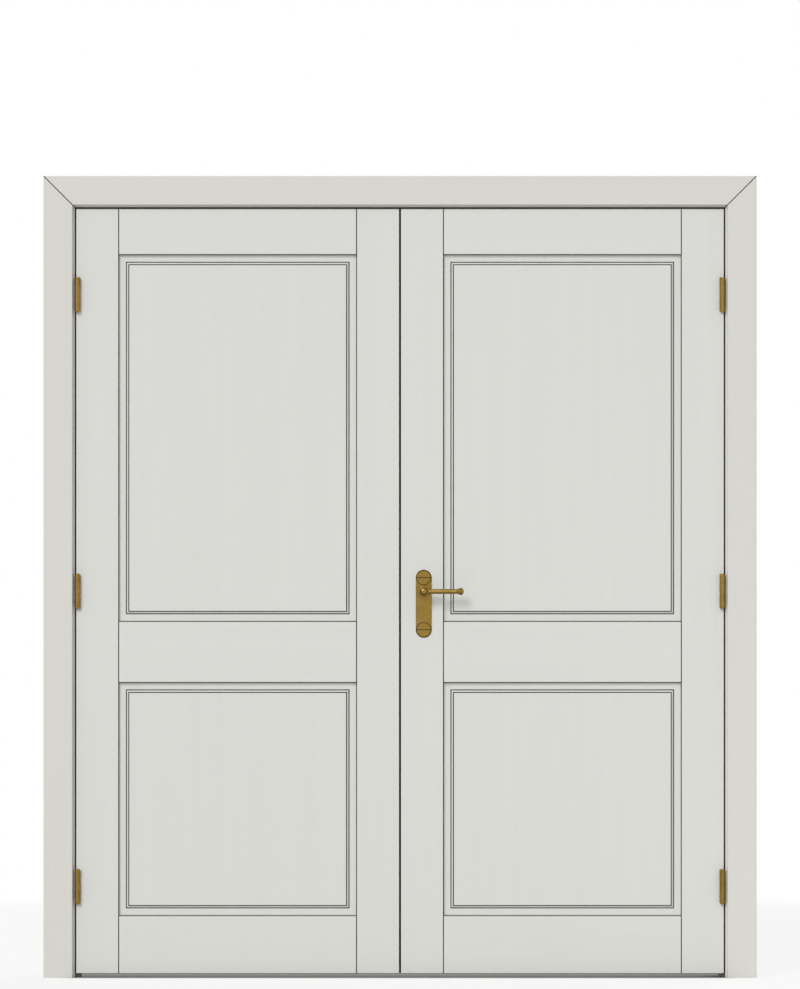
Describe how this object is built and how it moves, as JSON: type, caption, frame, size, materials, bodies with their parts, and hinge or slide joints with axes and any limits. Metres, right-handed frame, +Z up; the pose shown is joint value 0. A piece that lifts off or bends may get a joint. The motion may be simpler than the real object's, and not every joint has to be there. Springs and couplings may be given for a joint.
{
  "type": "french doors",
  "caption": "Pair of painted panelled door leaves hung on brass butt hinges in a cased frame, with lever handles, mortice latch and flush bolts.",
  "frame": {"origin": "on the floor, under the middle of the object's box: on the line where the leaves meet", "axes": "+Z up, -Y towards the front, the side that the leaves open to and the picture shows, +X to the right leaf"},
  "size_m": [1.845, 0.206, 2.075],
  "materials": {
    "leaf_paint": "satin pale grey paint on timber",
    "frame_paint": "satin warm pale grey paint on timber",
    "hinge_brass": "aged satin brass",
    "handle_brass": "aged brushed brass",
    "edge_brass": "satin brass",
    "latch_steel": "zinc plated",
    "seal_pile": "dense dark pile"
  },
  "bodies": {
    "frame": {"casing_head": "frame_paint", "casing_left": "frame_paint", "casing_right": "frame_paint", "frame_screws": "hinge_brass", "head_bolt_keep": "edge_brass", "head_jamb": "frame_paint", "hinge_pins": "hinge_brass", "jamb_left": "frame_paint", "jamb_right": "frame_paint", "left_bottom_hinge_frame_flap": "hinge_brass", "left_middle_hinge_frame_flap": "hinge_brass", "left_top_hinge_frame_flap": "hinge_brass", "rear_casing_head": "frame_paint", "rear_casing_left": "frame_paint", "rear_casing_right": "frame_paint", "right_bottom_hinge_frame_flap": "hinge_brass", "right_middle_hinge_frame_flap": "hinge_brass", "right_top_hinge_frame_flap": "hinge_brass", "stop_head": "frame_paint", "stop_left": "frame_paint", "stop_right": "frame_paint"},
    "left_leaf": {"left_bottom_hinge_leaf_flap": "hinge_brass", "left_bottom_rail": "leaf_paint", "left_edge_screws": "hinge_brass", "left_hinge_screws": "hinge_brass", "left_hinge_stile": "leaf_paint", "left_lock_rail": "leaf_paint", "left_lower_panel": "leaf_paint", "left_meeting_stile": "leaf_paint", "left_middle_hinge_leaf_flap": "hinge_brass", "left_top_hinge_leaf_flap": "hinge_brass", "left_top_rail": "leaf_paint", "left_upper_panel": "leaf_paint", "lower_bolt_plate": "edge_brass", "strike_plate": "edge_brass", "upper_bolt_plate": "edge_brass"},
    "right_leaf": {"front_backplate": "handle_brass", "latch_case": "latch_steel", "meeting_seal": "seal_pile", "rear_backplate": "handle_brass", "right_bottom_hinge_leaf_flap": "hinge_brass", "right_bottom_rail": "leaf_paint", "right_hinge_screws": "hinge_brass", "right_hinge_stile": "leaf_paint", "right_lock_rail": "leaf_paint", "right_lower_panel": "leaf_paint", "right_meeting_stile": "leaf_paint", "right_middle_hinge_leaf_flap": "hinge_brass", "right_screws": "hinge_brass", "right_top_hinge_leaf_flap": "hinge_brass", "right_top_rail": "leaf_paint", "right_upper_panel": "leaf_paint"},
    "lever_set": {"front_lever": "handle_brass", "rear_lever": "handle_brass", "spindle": "latch_steel", "latch_follower": "latch_steel"},
    "latch": {"latch_bolt": "latch_steel"},
    "upper_bolt": {"upper_bolt_rod": "edge_brass"},
    "lower_bolt": {"lower_bolt_rod": "edge_brass"}
  },
  "joints": [
    {"name": "left_leaf_swing", "type": "hinge", "parent": "frame", "child": "left_leaf", "pos_m": [-0.83475, -0.05535, 1.0005], "axis": [0, 0, -1], "range_deg": [0, 165]},
    {"name": "right_leaf_swing", "type": "hinge", "parent": "frame", "child": "right_leaf", "pos_m": [0.83475, -0.05535, 1.0005], "axis": [0, 0, 1], "range_deg": [0, 165]},
    {"name": "lever_turn", "type": "hinge", "parent": "right_leaf", "child": "lever_set", "pos_m": [0.0615, -0.027, 1], "axis": [0, 1, 0], "range_deg": [0, 40], "stiffness_Nm_per_rad": 1, "springref_deg": -28.65},
    {"name": "latch_slide", "type": "slide", "parent": "right_leaf", "child": "latch", "axis": [1, 0, 0], "range_m": [-0.011, 0]},
    {"name": "upper_bolt_slide", "type": "slide", "parent": "left_leaf", "child": "upper_bolt", "axis": [0, 0, 1], "range_m": [0, 0.016]},
    {"name": "lower_bolt_slide", "type": "slide", "parent": "left_leaf", "child": "lower_bolt", "axis": [0, 0, -1], "range_m": [0, 0.02]}
  ]
}
